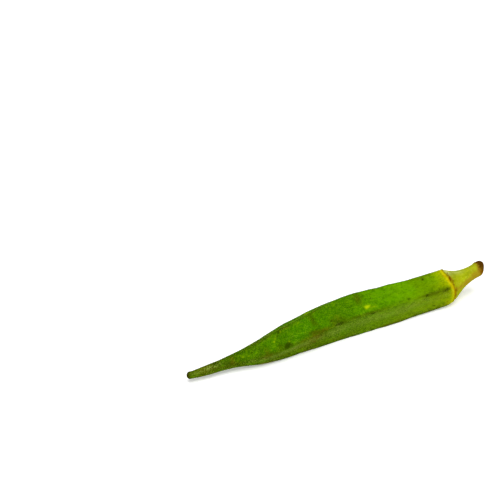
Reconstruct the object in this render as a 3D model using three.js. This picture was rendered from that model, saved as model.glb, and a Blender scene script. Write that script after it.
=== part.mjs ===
// An okra pod, as picked, lying on one of its five sides with its cut stalk.
//
// The pod grew as one piece, so it is one closed skin. A centreline runs along X from the tip of
// the beak to the cut end of the stalk, and every section square to it is five-sided on the body
// and fades to round on the beak and the stalk. The ridges wind slowly round the pod. A raised
// scar, where the calyx fell off, rings the pod's shoulder, and a hollow cone joins it to the stalk.
//
// Millimetres, +Z up. The origin is on the surface that the pod lies on, under the middle of its
// length and width. Angles in a section start at the near side (-Y) and pass over the top (+Z).

import * as THREE from 'three';

const { clamp, degToRad, lerp, smoothstep } = THREE.MathUtils;

// ---- Driving dimensions ----

// Places along the pod.
const TIP = -69.6;
const NOSE = -68.4; // where the rounded end of the beak begins
const BODY_START = -50;
const BODY_FULL = -20;
const BELLY_START = -4; // the belly's sections stand further apart, so that its foot has few corners
const BELLY_END = 26;
const SHOULDER = 44;
const SCAR = 50.5;
const CONE_START = 53.2;
const STALK_START = 60;
const CUT = 67.3;

// The centreline: [along, sideways] and [along, height].
const BOW = [
  [-69.6, 0], [-54, -0.3], [-38, -0.9], [-20, 0.7], [0, 2.5], [20, 2], [40, 1.6], [51, 0.8],
  [60, 0.3], [67.3, 0.1],
];
const HEIGHT = [
  [-69.6, 3.5], [-61, 3.6], [-54, 4.1], [-46, 4.8], [-38, 5.2], [-22, 6.4], [-8, 6.88], [6, 7.18],
  [20, 7.08], [34, 7.1], [46, 7.75], [52, 8.5], [60, 10.7], [67.3, 12.9],
];

// [along, radius over the ridges].
const RADIUS = [
  [-68.4, 1.4], [-61, 2], [-54, 2.4], [-47, 3.3], [-40, 4.75], [-32, 6], [-22, 7.15], [-10, 8.25],
  [4, 9], [20, 8.7], [36, 8.1], [46, 8.05], [49, 8.05], [50.7, 7.35], [52.4, 6.5], [54, 5.45],
  [56, 4.4], [60, 3.2], [64, 2.95], [67.3, 3.2],
];

// [along, how five-sided the section is]: 0 is round and 1 is flat between the ridges.
const SIDEDNESS = [
  [-69.6, 0.2], [-50, 0.25], [-38, 0.6], [-25, 0.95], [-10, 1], [40, 1], [48, 0.9], [50.6, 0.35],
  [53, 0.15], [58, 0], [67.3, 0],
];

// How the ridges wind: [along, degrees], in full at the top and not at all at the bottom. Towards the
// beak the top and back ridges wind back again.
const WINDING = [[-69.6, -17], [-40, -17], [-24, -8], [-12, 3], [0, 7], [25, 10], [50, 12], [67.3, 12]];
const UNWIND = 20;
const UNWIND_FULL = -38; // where along the pod it has grown to its full amount
const UNWIND_END = -10;
const UNWIND_MIDDLE = 115; // the direction, between the top and back ridges, in which it is strongest

// Where the five ridges stand round a section, in degrees, before they wind.
const RIDGES = [-126, -54, 23, 91, 163];
const CORNER_SHARPNESS = 24;
const SIDE_HOLLOW = 0.035; // depth of each side's hollow, as a share of the radius

// The scar: a low rim, with a groove on its stalk side.
const SCAR_HEIGHT = 0.24;
const SCAR_WIDTH = 0.4;
const SCAR_LEAN = 0.025; // its top leans towards the beak
const SCAR_REACH = 2.5; // how far along the pod the lean fades
const GROOVE_OFFSET = 0.9;
const GROOVE_DEPTH = 0.16;

// The stalk's cut: how far it leans, towards which side, and how round its edge is.
const CUT_LEAN = 0.35;
const CUT_TOWARD = 130;
const CUT_LEAN_START = 61;
const CUT_EDGE = 0.7;

// Spacing of the mesh.
const AROUND_EACH_SIDE = [0, 0.07, 0.2, 0.35, 0.5, 0.65, 0.8, 0.93];
const NOSE_STEPS = 5;
const EDGE_STEPS = 3;
const FRAME_STEP = 0.25; // half the chord that gives the centreline's direction

// ---- Curves ----

// A smooth curve through [x, value] points: cubic pieces whose slope at a point is the mean of
// the slopes of the two chords that meet there.
function smoothThrough(points) {
  const chords = points.slice(1).map(([x, value], i) => (value - points[i][1]) / (x - points[i][0]));
  const slopes = points.map((_, i) => ((chords[i - 1] ?? chords[i]) + (chords[i] ?? chords[i - 1])) / 2);
  return (x) => {
    let i = points.length - 2;
    while (i > 0 && x < points[i][0]) i -= 1;
    const [x0, value0] = points[i];
    const [x1, value1] = points[i + 1];
    const span = x1 - x0;
    const t = clamp((x - x0) / span, 0, 1);
    const bend = (1 - t) * slopes[i] - t * slopes[i + 1];
    return lerp(value0, value1, t * t * (3 - 2 * t)) + span * t * (1 - t) * bend;
  };
}

const bow = smoothThrough(BOW);
const height = smoothThrough(HEIGHT);
const ridgeRadius = smoothThrough(RADIUS);
const sidedness = smoothThrough(SIDEDNESS);
const winding = smoothThrough(WINDING);

// A bump of height 1 at the centre that fades within about twice its width.
function bump(x, centre, width) {
  return Math.exp(-(((x - centre) / width) ** 2));
}

function radiusAt(x) {
  const rim = SCAR_HEIGHT * bump(x, SCAR, SCAR_WIDTH);
  const groove = GROOVE_DEPTH * bump(x, SCAR + GROOVE_OFFSET, SCAR_WIDTH);
  return ridgeRadius(x) + rim - groove;
}

// ---- The section ----

const sides = RIDGES.map((ridge, i) => {
  const nextRidge = i + 1 < RIDGES.length ? RIDGES[i + 1] : RIDGES[0] + 360;
  const span = nextRidge - ridge;
  return { ridge, span, middle: ridge + span / 2, distance: Math.cos(degToRad(span / 2)) };
});

// The directions in which each section has a point: on every ridge, and across the side after it.
const directions = sides.flatMap(({ ridge, span }) =>
  AROUND_EACH_SIDE.map((acrossSide) => ({ angle: ridge + acrossSide * span, acrossSide })),
);

// Distance from the centre to a five-sided outline with rounded corners, which are at distance 1.
function fiveSided(angle) {
  const total = sides.reduce((sum, { middle, distance }) => {
    const facing = Math.max(0, Math.cos(degToRad(angle - middle)));
    return sum + (facing / distance) ** CORNER_SHARPNESS;
  }, 0);
  return (total / 2) ** (-1 / CORNER_SHARPNESS);
}

// Distance from the centre to the pod's skin, where the ridges are at distance 1.
function outline({ angle, acrossSide }, howFiveSided) {
  const hollow = SIDE_HOLLOW * Math.sin(Math.PI * acrossSide) ** 2;
  return lerp(1, fiveSided(angle) - hollow, howFiveSided);
}

// ---- The skin ----

// The direction, in degrees, that a direction of the unwound section has at a place along the pod.
function windRound(x, angle) {
  const nearShare = (1 + Math.sin(degToRad(angle))) / 2;
  const topShare = ((1 + Math.cos(degToRad(angle - UNWIND_MIDDLE))) / 2) ** 3;
  const unwind = UNWIND * (1 - smoothstep(x, UNWIND_FULL, UNWIND_END));
  return angle + winding(x) * nearShare + unwind * topShare;
}

// The directions along the centreline, to its near side and up, at a place along the pod.
function frameAt(x) {
  const before = x - FRAME_STEP;
  const after = x + FRAME_STEP;
  const along = new THREE.Vector3(after - before, bow(after) - bow(before), height(after) - height(before));
  along.normalize();
  const near = along.clone().cross(new THREE.Vector3(0, 0, 1)).normalize();
  const up = near.clone().cross(along);
  return { along, near, up };
}

// One section's points, from the centreline outwards. Below the surface that the pod lies on they
// are pressed flat, which leaves a narrow foot under two of its ridges.
function sectionPoints({ x, shrink }) {
  const { along, near, up } = frameAt(x);
  const centre = new THREE.Vector3(x, bow(x), height(x));
  const cutLean = CUT_LEAN * clamp((x - CUT_LEAN_START) / (CUT - CUT_LEAN_START), 0, 1) ** 1.5;
  const atScar = bump(x, SCAR, SCAR_REACH);
  return directions.map((direction) => {
    const radius = (radiusAt(x) - shrink) * outline(direction, sidedness(x));
    const wound = windRound(x, direction.angle);
    const cutShift = cutLean * radius * Math.cos(degToRad(wound - CUT_TOWARD));
    const scarShift = -atScar * SCAR_LEAN * radius * Math.sin(degToRad(wound));
    const point = centre.clone();
    point.addScaledVector(near, radius * Math.cos(degToRad(wound)));
    point.addScaledVector(up, radius * Math.sin(degToRad(wound)));
    point.addScaledVector(along, cutShift + scarShift);
    point.z = Math.max(point.z, 0);
    return point;
  });
}

// Places from start up to, but not including, end.
function evenly(start, end, count) {
  return Array.from({ length: count }, (_, i) => ({ x: lerp(start, end, i / count), shrink: 0 }));
}

// The beak's rounded nose, from just after its pole.
const nose = Array.from({ length: NOSE_STEPS }, (_, i) => {
  const turn = ((i + 1) / (NOSE_STEPS + 1)) * (Math.PI / 2);
  return { x: lerp(NOSE, TIP, Math.cos(turn)), shrink: radiusAt(NOSE) * (1 - Math.sin(turn)) };
});

// The rounded edge of the stalk's cut.
const cutEdge = Array.from({ length: EDGE_STEPS + 1 }, (_, i) => {
  const turn = (i / EDGE_STEPS) * (Math.PI / 2);
  return { x: CUT - CUT_EDGE * (1 - Math.sin(turn)), shrink: CUT_EDGE * (1 - Math.cos(turn)) };
});

const stations = [
  ...nose,
  ...evenly(NOSE, BODY_START, 8),
  ...evenly(BODY_START, BODY_FULL, 16),
  ...evenly(BODY_FULL, BELLY_START, 6),
  ...evenly(BELLY_START, BELLY_END, 3),
  ...evenly(BELLY_END, SHOULDER, 7),
  ...evenly(SHOULDER, SCAR - 1.2, 6),
  ...evenly(SCAR - 1.2, CONE_START, 12),
  ...evenly(CONE_START, STALK_START, 8),
  ...evenly(STALK_START, CUT - CUT_EDGE, 6),
  ...cutEdge,
];

// A closed skin over sections of equal count: a fan at each end and a band between neighbours.
function loft(sections, firstPole, lastPole) {
  const count = sections[0].length;
  const points = [firstPole, ...sections.flat(), lastPole];
  const last = points.length - 1;
  const at = (section, i) => 1 + section * count + (i % count);
  const faces = [];
  for (let i = 0; i < count; i += 1) {
    faces.push(0, at(0, i), at(0, i + 1));
    faces.push(last, at(sections.length - 1, i + 1), at(sections.length - 1, i));
  }
  for (let s = 0; s + 1 < sections.length; s += 1) {
    for (let i = 0; i < count; i += 1) {
      faces.push(at(s, i), at(s + 1, i), at(s + 1, i + 1));
      faces.push(at(s, i), at(s + 1, i + 1), at(s, i + 1));
    }
  }
  const geometry = new THREE.BufferGeometry().setFromPoints(points);
  geometry.setIndex(faces);
  geometry.computeVertexNormals();
  return geometry;
}

function podGeometry() {
  const tip = new THREE.Vector3(TIP, bow(TIP), height(TIP));
  const cutCentre = new THREE.Vector3(CUT, bow(CUT), height(CUT));
  return loft(stations.map(sectionPoints), tip, cutCentre);
}

// ---- The part ----

const podSkin = new THREE.MeshStandardMaterial({ color: 0x5e8c0f, roughness: 0.55, metalness: 0 });

const pod = new THREE.Mesh(podGeometry(), podSkin);
pod.name = 'okra_pod';
pod.geometry.computeBoundingBox();
const middle = pod.geometry.boundingBox.getCenter(new THREE.Vector3());
pod.position.set(-middle.x, -middle.y, 0);

const part = new THREE.Group();
part.add(pod);

export default part;
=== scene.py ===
"""An okra pod as picked, lying on one of its five sides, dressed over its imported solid.

The skin is one closed surface, a function of the place along the pod and the angle round it, with
its ridges, seed swellings, calyx scar, ribbed cap and fibrous cut worked into the mesh. Loose
pieces lie on it: short pale fuzz, and the dry shreds that the calyx left in the scar's groove.

Lengths are in millimetres until a mesh is made of them, in metres. Angles are in degrees from the
near side (-Y) over the top (+Z).
"""

import math

import bpy
import numpy as np
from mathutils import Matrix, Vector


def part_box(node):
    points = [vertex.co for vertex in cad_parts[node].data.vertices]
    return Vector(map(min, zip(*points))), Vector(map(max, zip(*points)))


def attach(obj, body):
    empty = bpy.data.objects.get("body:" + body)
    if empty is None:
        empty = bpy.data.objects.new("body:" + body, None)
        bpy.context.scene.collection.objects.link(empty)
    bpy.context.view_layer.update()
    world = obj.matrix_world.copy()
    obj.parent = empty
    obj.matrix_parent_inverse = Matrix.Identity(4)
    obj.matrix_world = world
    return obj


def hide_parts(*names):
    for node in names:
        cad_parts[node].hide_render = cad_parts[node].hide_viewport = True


MM = 0.001
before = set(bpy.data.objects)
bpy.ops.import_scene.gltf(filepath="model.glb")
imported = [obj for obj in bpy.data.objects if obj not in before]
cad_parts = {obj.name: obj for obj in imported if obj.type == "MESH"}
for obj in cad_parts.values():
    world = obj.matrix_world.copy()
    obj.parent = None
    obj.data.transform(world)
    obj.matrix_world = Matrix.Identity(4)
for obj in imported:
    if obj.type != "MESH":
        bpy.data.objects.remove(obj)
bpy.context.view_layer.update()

# ---- The pod's own dimensions, the same as the solid's ----

TIP, NOSE, SCAR, CUT = -69.6, -68.4, 50.5, 67.3
BOW = [[-69.6, 0], [-54, -0.3], [-38, -0.9], [-20, 0.7], [0, 2.5], [20, 2], [40, 1.6], [51, 0.8],
       [60, 0.3], [67.3, 0.1]]
HEIGHT = [[-69.6, 3.5], [-61, 3.6], [-54, 4.1], [-46, 4.8], [-38, 5.2], [-22, 6.4], [-8, 6.88],
          [6, 7.18], [20, 7.08], [34, 7.1], [46, 7.75], [52, 8.5], [60, 10.7], [67.3, 12.9]]
RADIUS = [[-68.4, 1.4], [-61, 2], [-54, 2.4], [-47, 3.3], [-40, 4.75], [-32, 6], [-22, 7.15],
          [-10, 8.25], [4, 9], [20, 8.7], [36, 8.1], [46, 8.05], [49, 8.05], [50.7, 7.35],
          [52.4, 6.5], [54, 5.45], [56, 4.4], [60, 3.2], [64, 2.95], [67.3, 3.2]]
SIDEDNESS = [[-69.6, 0.2], [-50, 0.25], [-38, 0.6], [-25, 0.95], [-10, 1], [40, 1], [48, 0.9],
             [50.6, 0.35], [53, 0.15], [58, 0], [67.3, 0]]
WINDING = [[-69.6, -17], [-40, -17], [-24, -8], [-12, 3], [0, 7], [25, 10], [50, 12], [67.3, 12]]
TOP_UNWIND, UNWIND_FULL, UNWIND_END, UNWIND_MIDDLE = 20, -38, -10, 115
RIDGES = np.array([-126.0, -54.0, 23.0, 91.0, 163.0])
CORNER_SHARPNESS, SIDE_HOLLOW = 24, 0.035
SCAR_HEIGHT, SCAR_WIDTH, SCAR_LEAN, SCAR_REACH = 0.24, 0.4, 0.025, 2.5
GROOVE_OFFSET, GROOVE_DEPTH = 0.9, 0.16
CUT_LEAN, CUT_TOWARD, CUT_LEAN_START, CUT_EDGE = 0.35, 130, 61, 0.7
FRAME_STEP = 0.25

# ---- Curves and small helpers ----


def smooth_through(points):
    """A smooth curve through [x, value] points.

    It is of cubic pieces, and its slope at a point is the mean of the slopes of the two chords
    that meet there.
    """
    xs, values = np.array(points, float).T
    chords = np.diff(values) / np.diff(xs)
    slopes = np.concatenate([chords[:1], (chords[:-1] + chords[1:]) / 2, chords[-1:]])

    def curve(x):
        i = np.clip(np.searchsorted(xs, x, side="right") - 1, 0, len(xs) - 2)
        span = xs[i + 1] - xs[i]
        t = np.clip((x - xs[i]) / span, 0, 1)
        bend = (1 - t) * slopes[i] - t * slopes[i + 1]
        step = (values[i + 1] - values[i]) * t * t * (3 - 2 * t)
        return values[i] + step + span * t * (1 - t) * bend

    return curve


bow, height, ridge_radius = map(smooth_through, (BOW, HEIGHT, RADIUS))
sidedness, winding = map(smooth_through, (SIDEDNESS, WINDING))


def bump(x, centre, width):
    """A bell of height 1: e to the minus square of the distance over the width."""
    return np.exp(-(((x - centre) / width) ** 2))


def rise(x, start, end):
    """0 before start and 1 after end, with a smooth S between them (3t squared less 2t cubed)."""
    t = np.clip((x - start) / (end - start), 0, 1)
    return t * t * (3 - 2 * t)


def between(x, band):
    """1 along a band of the pod, given as the places where it starts, is full, fades and ends."""
    start, full, fades, end = band
    return rise(x, start, full) * rise(x, end, fades)


def ripples(place, name, count=20):
    """Soft random relief: the sum of cosine waves in seeded directions, to a spread of half the height.

    A wave is about as long as the table says, along the pod and across it.
    """
    tall, long, wide, seed = RIPPLES[name]
    rng = np.random.default_rng(seed)
    aim = rng.normal(size=(count, 3))
    aim *= (0.7 + 0.6 * rng.random((count, 1))) / np.linalg.norm(aim, axis=1, keepdims=True)
    phase = rng.uniform(0, 2 * np.pi, count)
    total = np.zeros(place.shape[:-1])
    for one_aim, one_phase in zip(aim * 2 * np.pi / np.array([long, wide, wide], float), phase):
        total += np.cos(place @ one_aim + one_phase)
    return tall * (total / math.sqrt(2 * count))


def turned_from(angle, middle):
    """How far an angle is from another, from -180 to 180."""
    return np.mod(angle - middle + 180, 360) - 180


def swells(angle, bells):
    """The sum of bells round the pod, given as [height, angle, width in degrees]."""
    return sum(tall * bump(turned_from(angle, middle), 0, width) for tall, middle, width in bells)


def round_from(x, angle, middle):
    """Distance round the skin from the line at one angle."""
    return np.radians(turned_from(angle, middle)) * ridge_radius(x)


def stripe(x, angle, middle, half_width):
    """A bell of height 1 across the line at one angle, by the distance round the skin."""
    return bump(round_from(x, angle, middle), 0, half_width)


def radius_at(x):
    """Distance from the centreline to the ridges, by the table, with the scar's rim and groove."""
    rim = SCAR_HEIGHT * bump(x, SCAR, SCAR_WIDTH)
    groove = GROOVE_DEPTH * bump(x, SCAR + GROOVE_OFFSET, SCAR_WIDTH)
    return ridge_radius(x) + rim - groove


# Each side's span, its middle, and how far it is from the centre where the ridges are at 1.
SPANS = np.append(RIDGES[1:], RIDGES[0] + 360) - RIDGES
MIDDLES = RIDGES + SPANS / 2
DISTANCES = np.cos(np.radians(SPANS / 2))


def side_of(angle):
    """Which side of the pod an angle is on, and its share of the way across from the first ridge."""
    turned = np.mod(angle - RIDGES[0], 360) + RIDGES[0]
    side = np.clip(np.searchsorted(RIDGES, turned, side="right") - 1, 0, 4)
    return side, (turned - RIDGES[side]) / SPANS[side]


def outline(x, angle, across):
    """Distance from the centre to the skin where the ridges are at 1.

    It is a five-sided form with rounded corners, by a high power mean of the five flat sides. Each
    side is hollowed by a squared sine, and the whole is blended with a circle by the sidedness.
    """
    facing = np.maximum(0, np.cos(np.radians(angle[..., None] - MIDDLES))) / DISTANCES
    five_sided = ((facing ** CORNER_SHARPNESS).sum(-1) / 2) ** (-1 / CORNER_SHARPNESS)
    hollow = SIDE_HOLLOW * np.sin(np.pi * across) ** 2
    return 1 + sidedness(x) * (five_sided - hollow - 1)


def frame_at(x):
    """Unit directions along the centreline, to its near side and up, from a short chord of it."""
    before, after = x - FRAME_STEP, x + FRAME_STEP
    along = np.stack([after - before, bow(after) - bow(before), height(after) - height(before)], -1)
    along /= np.linalg.norm(along, axis=-1, keepdims=True)
    near = np.cross(along, [0, 0, 1.0])
    near /= np.linalg.norm(near, axis=-1, keepdims=True)
    return along, near, np.cross(near, along)


def pod_points(x, angle, shrink=0.0, lift=0.0, sink=0.0):
    """Points of the skin on the solid's own line, and the directions outwards from the centreline.

    A point is the centre plus the radius, less shrink, times the outline in the wound direction,
    plus lift outwards and sink along the pod. The scar and the cut lean, by shifts along the pod
    that grow with the radius. Points under the floor are pressed up to it.
    """
    x, angle = np.broadcast_arrays(x, angle)
    across = side_of(angle)[1]
    along, near, up = frame_at(x)
    radius = (radius_at(x) - shrink) * outline(x, angle, across)
    near_share = (1 + np.sin(np.radians(angle))) / 2
    top_share = ((1 + np.cos(np.radians(angle - UNWIND_MIDDLE))) / 2) ** 3
    unwind = TOP_UNWIND * rise(x, UNWIND_END, UNWIND_FULL)
    wound = np.radians(angle + winding(x) * near_share + unwind * top_share)
    cut_lean = CUT_LEAN * np.clip((x - CUT_LEAN_START) / (CUT - CUT_LEAN_START), 0, 1) ** 1.5
    scar_lean = SCAR_LEAN * bump(x, SCAR, SCAR_REACH)
    shift = radius * (cut_lean * np.cos(wound - math.radians(CUT_TOWARD)) - scar_lean * np.sin(wound))
    outwards = near * np.cos(wound)[..., None] + up * np.sin(wound)[..., None]
    points = np.stack([x, bow(x), height(x)], -1) + outwards * (radius + lift)[..., None]
    points += along * (shift + sink)[..., None]
    points[..., 2] = np.maximum(points[..., 2], 0)
    return points, outwards


def straightened(x, angle, shrink=0.0):
    """The place of a point as if the pod were straight and unwound, so that patterns follow it."""
    x, angle = np.broadcast_arrays(x, angle)
    radius = radius_at(x) - shrink
    turn = np.radians(angle)
    return np.stack([x, radius * np.cos(turn), radius * np.sin(turn)], -1)


# ---- The relief that the solid leaves out ----

# Random reliefs and patterns: [height, length of a wave along the pod, length across it, seed].
RIPPLES = {
    "bead": [0.45, 7, 3, 11], "seeds": [0.8, 26, 16, 12], "body_lumps": [0.11, 15, 9, 13],
    "body_grain": [0.035, 4.5, 2.2, 14], "beak_wrinkles": [0.03, 14, 1.1, 15],
    "scar_teeth": [0.13, 6, 0.95, 21], "scar_swells": [0.1, 6, 2.6, 22], "crease": [0.5, 9, 2.5, 23],
    "flakes": [0.12, 1.6, 1.3, 24], "rib_sway": [2.2, 7, 3, 31], "flute_sway": [0.8, 12, 4, 32],
    "cap_lumps": [0.07, 5, 2.6, 33], "dry_wrinkles": [0.09, 1.3, 0.9, 34],
    "dry_grain": [0.05, 0.6, 0.5, 35], "cap_grain": [0.02, 1.4, 0.7, 36],
    "cut_grain": [0.11, 0.5, 0.5, 41], "cut_rim": [0.12, 9, 1.1, 42], "wear_and_shade": [0.5, 9, 4, 57],
}
# Bands along the pod: [starts, is full, fades, ends].
CAPSULE, SEEDED, LUMPY = [-44, -30, 46.5, 49.9], [-34, -18, 34, 46], [-66, -45, 46, 51.4]
BEAD_HEIGHT, BEAD_WIDTH, SEAM_DEPTH, SEAM_SHARE = 0.17, 0.75, 0.06, 0.55 / 9
SEED_SPACING, SEED_STAGGER, SEED_HEIGHT, SEED_ROWS, SEED_SHARE = 6.2, 0.37, 0.11, (0.26, 0.74), 0.13
CREASE_PLACE, CREASE_DEPTH, CREASE_WIDTH = SCAR + 0.62, 0.14, 0.2
RIB_COUNT, RIB_HEIGHT, FLUTE_COUNT, FLUTE_HEIGHT = 26, 0.035, 5, 0.06
DRY_START, DRY_END, NOSE_SWOLLEN = 64.2, 66.6, -68.6
SPOKES, PITH_DEPTH, WOOD_HEIGHT, FURROW_DEPTH = 23, 0.55, 0.14, 0.12
# Bells round the pod: [height, angle, width in degrees].
NOSE_SWELLING, SHRIVEL = [[0.32, 95, 50]], [[-0.55, -30, 45]]
LIP, NOTCH = [[0.4, 112, 40]], [[-0.35, 98, 40]]


def ridge_gap(x, angle):
    """Distance round the skin to the nearest ridge."""
    side, across = side_of(angle)
    return np.minimum(across, 1 - across) * np.radians(SPANS[side]) * ridge_radius(x)


def body_relief(x, angle, place):
    """Lift of the capsule and beak.

    It is a narrow uneven bead on each ridge, a shallow seam down the middle of each side, seed
    swellings in two staggered rows to a side, soft lumps, lengthwise wrinkles on the beak, and a
    swelling over the blunt nose.
    """
    side, across = side_of(angle)
    bead = BEAD_HEIGHT * (0.8 + ripples(place, "bead")) * bump(ridge_gap(x, angle), 0, BEAD_WIDTH)
    seam = -SEAM_DEPTH * bump(across, 0.5, SEAM_SHARE)
    rows = 0.0
    for stagger, middle in zip((0, 0.5), SEED_ROWS):
        turn = 2 * np.pi * (x / SEED_SPACING + stagger + SEED_STAGGER * side)
        rows = rows + np.cos(turn) * bump(across, middle, SEED_SHARE)
    seeds = SEED_HEIGHT * (0.75 + ripples(place, "seeds")) * rows * between(x, SEEDED)
    lumps = (ripples(place, "body_lumps") + ripples(place, "body_grain")) * between(x, LUMPY)
    wrinkles = ripples(place, "beak_wrinkles") * rise(x, -38, -52)
    blunt = swells(angle, NOSE_SWELLING) * bump(x, NOSE_SWOLLEN, 1.1)
    return blunt + between(x, CAPSULE) * (bead + seam + seeds) + lumps + wrinkles


def scar_relief(x, place):
    """Lift round the scar: a rim of small ragged teeth, and on its stalk side a crease and flakes."""
    teeth = (ripples(place, "scar_teeth") + ripples(place, "scar_swells")) * bump(x, SCAR - 0.05, 0.36)
    crease = -CREASE_DEPTH * (0.7 + ripples(place, "crease")) * bump(x, CREASE_PLACE, CREASE_WIDTH)
    flakes = np.maximum(0, ripples(place, "flakes")) * bump(x, SCAR + 1.1, 0.5)
    return teeth + crease + flakes


def stalk_relief(x, angle, place):
    """Lift of the cap and stalk.

    It is fine ribs that fan out from the stalk, broad flutes, and a wrinkled band below the cut,
    which has shrivelled on one side and has a raised lip on the other, with a notch over it.
    """
    turn = np.radians(angle)
    ribs = RIB_HEIGHT * np.cos(RIB_COUNT * turn + ripples(place, "rib_sway"))
    flutes = FLUTE_HEIGHT * np.cos(FLUTE_COUNT * turn + 1.2 + ripples(place, "flute_sway"))
    lumps = ripples(place, "cap_lumps") + ripples(place, "cap_grain")
    wrinkles = ripples(place, "dry_wrinkles") + ripples(place, "dry_grain")
    dry_rim = swells(angle, SHRIVEL) * rise(x, 65.4, 67.1) + swells(angle, LIP) * bump(x, 65, 0.9)
    notch = swells(angle, NOTCH) * rise(x, 66, 67.2)
    cap = rise(x, 52.4, 55) * (ribs + lumps + flutes * rise(x, 57, 61))
    return cap + rise(x, DRY_START, DRY_END) * wrinkles + dry_rim + notch


def cut_relief(core, angle):
    """How far the cut stands out along the stalk, by the share of its radius from the middle.

    A soft pith is sunk in the middle, a raised woody ring is crossed by fibres, and the bark rim
    is ragged.
    """
    turn = np.radians(angle)
    core, turn = np.broadcast_arrays(core, turn)
    place = 3 * np.stack([core, core * np.cos(turn), core * np.sin(turn)], -1)
    pith = -PITH_DEPTH * rise(core, 0.5, 0.18)
    fibres = 0.07 * np.cos(SPOKES * turn + 2 * np.sin(3 * turn)) * bump(core, 0.68, 0.16)
    wood = WOOD_HEIGHT * bump(core, 0.66, 0.15) - FURROW_DEPTH * bump(core, 0.87, 0.06)
    grain = ripples(place, "cut_grain") * between(core, [0.02, 0.2, 0.75, 1.05])
    rim = ripples(place, "cut_rim") * bump(core, 0.97, 0.1)
    return pith + fibres + wood + grain + rim


# ---- The skin ----

# How far apart the sections are: [from, to, step].
SECTION_STEPS = [[NOSE, -50, 0.31], [-50, 47.5, 0.37], [47.5, 49.5, 0.16], [49.5, 52.8, 0.07],
                 [52.8, CUT - CUT_EDGE, 0.19]]
NOSE_SECTIONS, EDGE_SECTIONS, FACE_RINGS, STEPS_PER_SIDE, GATHERED = 11, 8, 22, 36, 0.62
DIMPLE, TIP_INSET, MAP_MARGIN = 0.25, 0.03, 0.004
# Where the green skin ends along the pod, and the share of the cut's radius that has no skin.
GREEN_ENDS, BARE_SHARE = SCAR + 0.95, 0.985


def evenly(start, end, step):
    """Places from start up to, but not including, end, about a step apart."""
    return np.linspace(start, end, max(2, round((end - start) / step)) + 1)[:-1]


def skin_stations():
    """Every section from the tip to the middle of the cut, as three columns.

    They are its place, how far it is shrunk, and its share of the cut's radius, which is 1 all
    along the pod. The nose and the edge of the cut are quarter turns.
    """
    turn = np.linspace(0, math.pi / 2, NOSE_SECTIONS + 2)[1:-1]
    nose = NOSE + (TIP - NOSE) * np.cos(turn)
    nose_shrink = radius_at(np.array(NOSE)) * (1 - np.sin(turn))
    run = np.concatenate([evenly(*stretch) for stretch in SECTION_STEPS])
    turn = np.linspace(0, math.pi / 2, EDGE_SECTIONS + 1)
    edge = CUT - CUT_EDGE * (1 - np.sin(turn))
    edge_shrink = CUT_EDGE * (1 - np.cos(turn))
    core = np.linspace(1, 0, FACE_RINGS + 1)[1:-1]
    face_shrink = CUT_EDGE + (radius_at(np.array(CUT)) - CUT_EDGE) * (1 - core)
    x = np.concatenate([nose, run, edge, np.full(core.size, CUT)])
    shrink = np.concatenate([nose_shrink, np.zeros(run.size), edge_shrink, face_shrink])
    share = np.concatenate([np.ones(x.size - core.size), core])
    return x[:, None], shrink[:, None], share[:, None]


def skin_angles():
    """Angles round the pod: even steps less a sine that gathers them at both ends of each side."""
    step = np.arange(STEPS_PER_SIDE) / STEPS_PER_SIDE
    across = step - GATHERED * np.sin(2 * np.pi * step) / (2 * np.pi)
    return (RIDGES[:, None] + across * SPANS[:, None]).reshape(1, -1)


def relief(x, angle, shrink, core):
    """All the lift of the skin, and how far the cut and the nose's dimple stand out along the pod.

    The lift fades towards the middle of the cut and over the nose.
    """
    place = straightened(x, angle)
    lift = body_relief(x, angle, place) + scar_relief(x, place) + stalk_relief(x, angle, place)
    lift = lift * np.where(core < 1, core ** 2, 1)
    nose = np.clip(shrink / ridge_radius(NOSE), 0, 1) * (x < 0)
    dimple = DIMPLE * rise(nose, 0.55, 0.95)
    return lift * (1 - nose), np.where(core < 1, cut_relief(core, angle), 0) + dimple


def tube_faces(sections, around):
    """Faces of a closed tube over a grid of points, as quads and as the triangles of its two fans.

    The fans meet at the poles, which are the last two points.
    """
    i = np.arange(around)
    j = (i + 1) % around
    row = np.arange(sections - 1)[:, None] * around
    quads = np.stack([row + i, row + around + i, row + around + j, row + j], -1).reshape(-1, 4)
    first, last, end = sections * around, sections * around + 1, (sections - 1) * around
    first_fan = np.stack([np.full(around, first), i, j], -1)
    last_fan = np.stack([np.full(around, last), end + j, end + i], -1)
    return quads, np.concatenate([first_fan, last_fan])


def make_mesh(name, points, quads, triangles, smooth=True):
    """A mesh object at the origin from points in metres and two face tables, in whole arrays."""
    mesh = bpy.data.meshes.new(name)
    mesh.vertices.add(len(points))
    mesh.vertices.foreach_set("co", np.asarray(points, np.float32).ravel())
    corners = np.concatenate([quads.ravel(), triangles.ravel()]).astype(np.int32)
    mesh.loops.add(corners.size)
    mesh.loops.foreach_set("vertex_index", corners)
    starts = np.concatenate([np.arange(len(quads)) * 4, quads.size + np.arange(len(triangles)) * 3])
    mesh.polygons.add(len(starts))
    mesh.polygons.foreach_set("loop_start", starts.astype(np.int32))
    mesh.polygons.foreach_set("use_smooth", np.full(len(starts), smooth))
    mesh.update(calc_edges=True)
    mesh.validate()
    piece = bpy.data.objects.new(name, mesh)
    bpy.context.collection.objects.link(piece)
    return piece


def write_mask(piece, name, values, kind="FLOAT", slot="value"):
    """Stores a value or a vector for each vertex, for the materials to read."""
    layer = piece.data.attributes.new(name, kind, "POINT")
    layer.data.foreach_set(slot, np.asarray(values, np.float32).ravel())


# ---- Marks on the skin ----

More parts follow.
